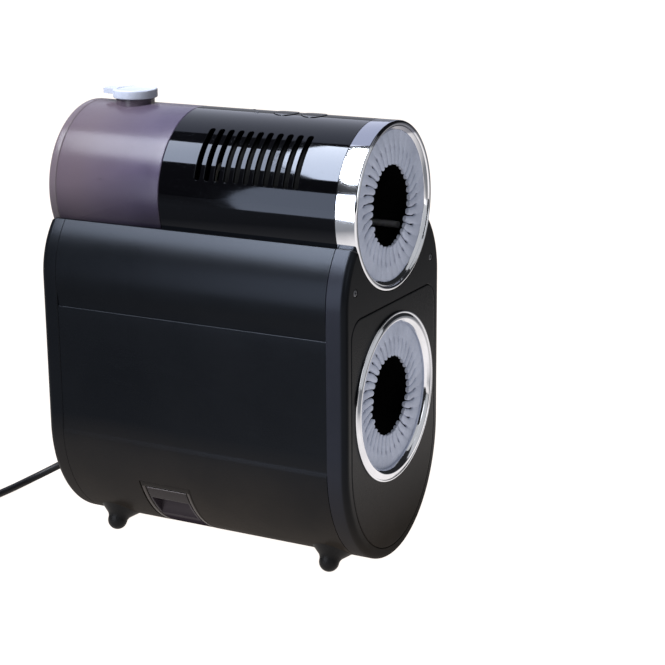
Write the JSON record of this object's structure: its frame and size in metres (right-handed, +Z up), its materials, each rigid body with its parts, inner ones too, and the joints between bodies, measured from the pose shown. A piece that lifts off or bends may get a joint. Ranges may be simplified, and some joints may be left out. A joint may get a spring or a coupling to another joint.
{
  "type": "hairbrush cleaning machine",
  "caption": "Upright salon brush cleaner: steam port in a barrel with a smoky water tank above, suction port below, pull-out hair tray, push buttons, rubber feet and a mains lead.",
  "frame": {"origin": "on the floor, under the middle of the object's box without its lead", "axes": "+Z up, -Y out of the ports towards the user, +X to the right as seen from the front"},
  "size_m": [0.177, 0.4466, 0.3305],
  "materials": {
    "body_plastic": "fine satin texture, moulded",
    "gloss_black": "high gloss",
    "chrome_trim": "bright plated",
    "smoky_plastic": "translucent smoky tint",
    "fringe_rubber": "matt grey rubber",
    "foot_rubber": "matt black rubber",
    "inner_plastic": "matt moulded",
    "button_plastic": "gloss, with a plain printed ring",
    "lamp_lens": "clear lens",
    "silicone": "milky silicone",
    "hose_silicone": "translucent silicone",
    "screw_steel": "plated steel",
    "boiler_aluminium": "cast",
    "motor_steel": "zinc plated",
    "fan_plastic": "natural nylon",
    "circuit_board": "green solder mask",
    "component_black": "moulded",
    "lead_sheath": "satin black sheath",
    "plug_brass": "nickel-washed brass"
  },
  "bodies": {
    "housing": {"lower_shell": "body_plastic", "upper_shell": "body_plastic", "rear_cover": "body_plastic", "front_bezel": "body_plastic", "front_panel": "body_plastic", "barrel_sleeve": "gloss_black", "upper_ring": "chrome_trim", "lower_ring": "chrome_trim", "upper_fringe": "fringe_rubber", "lower_fringe": "fringe_rubber", "foot_front_left": "foot_rubber", "foot_front_right": "foot_rubber", "foot_rear_left": "foot_rubber", "foot_rear_right": "foot_rubber", "upper_clamp_ring": "inner_plastic", "lower_clamp_ring": "inner_plastic", "steam_chamber": "inner_plastic", "suction_chamber": "inner_plastic", "hair_chute": "inner_plastic", "filter_frame": "inner_plastic", "fan_duct": "inner_plastic", "barrel_bulkhead": "inner_plastic", "tank_socket": "inner_plastic", "water_pump": "inner_plastic", "tray_rails": "inner_plastic", "indicator_lamps": "lamp_lens", "inlet_hose": "hose_silicone", "outlet_hose": "hose_silicone", "face_screws": "screw_steel", "rear_screws": "screw_steel", "motor_screws": "screw_steel", "steam_pipe": "screw_steel", "filter_mesh": "screw_steel", "steam_boiler": "boiler_aluminium", "fan_motor": "motor_steel", "motor_bracket": "motor_steel", "control_board": "circuit_board", "power_board": "circuit_board", "tact_switches": "component_black", "transformer": "component_black", "capacitors": "component_black", "lead_tube": "lead_sheath", "lead_coil": "lead_sheath", "lead_tail": "lead_sheath", "strain_relief": "lead_sheath", "plug_body": "lead_sheath", "plug_pins": "plug_brass"},
    "fan": {"fan_impeller": "fan_plastic", "fan_shaft": "screw_steel"},
    "front_button": {"button_front": "button_plastic"},
    "rear_button": {"button_rear": "button_plastic"},
    "tray": {"hair_tray": "smoky_plastic"},
    "tank": {"tank_shell": "smoky_plastic", "tank_cap": "smoky_plastic", "tank_outlet": "inner_plastic", "outlet_seal": "hose_silicone"},
    "stopper": {"tank_plug": "silicone"}
  },
  "joints": [
    {"name": "fan_spin", "type": "hinge", "parent": "housing", "child": "fan", "pos_m": [0, 0.063, 0.1246], "axis": [0, 1, 0], "continuous": true},
    {"name": "front_button_press", "type": "slide", "parent": "housing", "child": "front_button", "axis": [0, 0, -1], "range_m": [0, 0.0008], "stiffness_N_per_m": 1500, "springref_m": -0.0005},
    {"name": "rear_button_press", "type": "slide", "parent": "housing", "child": "rear_button", "axis": [0, 0, -1], "range_m": [0, 0.0008], "stiffness_N_per_m": 1500, "springref_m": -0.0005},
    {"name": "tray_slide", "type": "slide", "parent": "housing", "child": "tray", "axis": [-1, 0, 0], "range_m": [0, 0.09]},
    {"name": "tank_slide", "type": "slide", "parent": "housing", "child": "tank", "axis": [0, 1, 0], "range_m": [0, 0.11]},
    {"name": "stopper_pull", "type": "slide", "parent": "tank", "child": "stopper", "axis": [0, 0, 1], "range_m": [0, 0.025]}
  ]
}
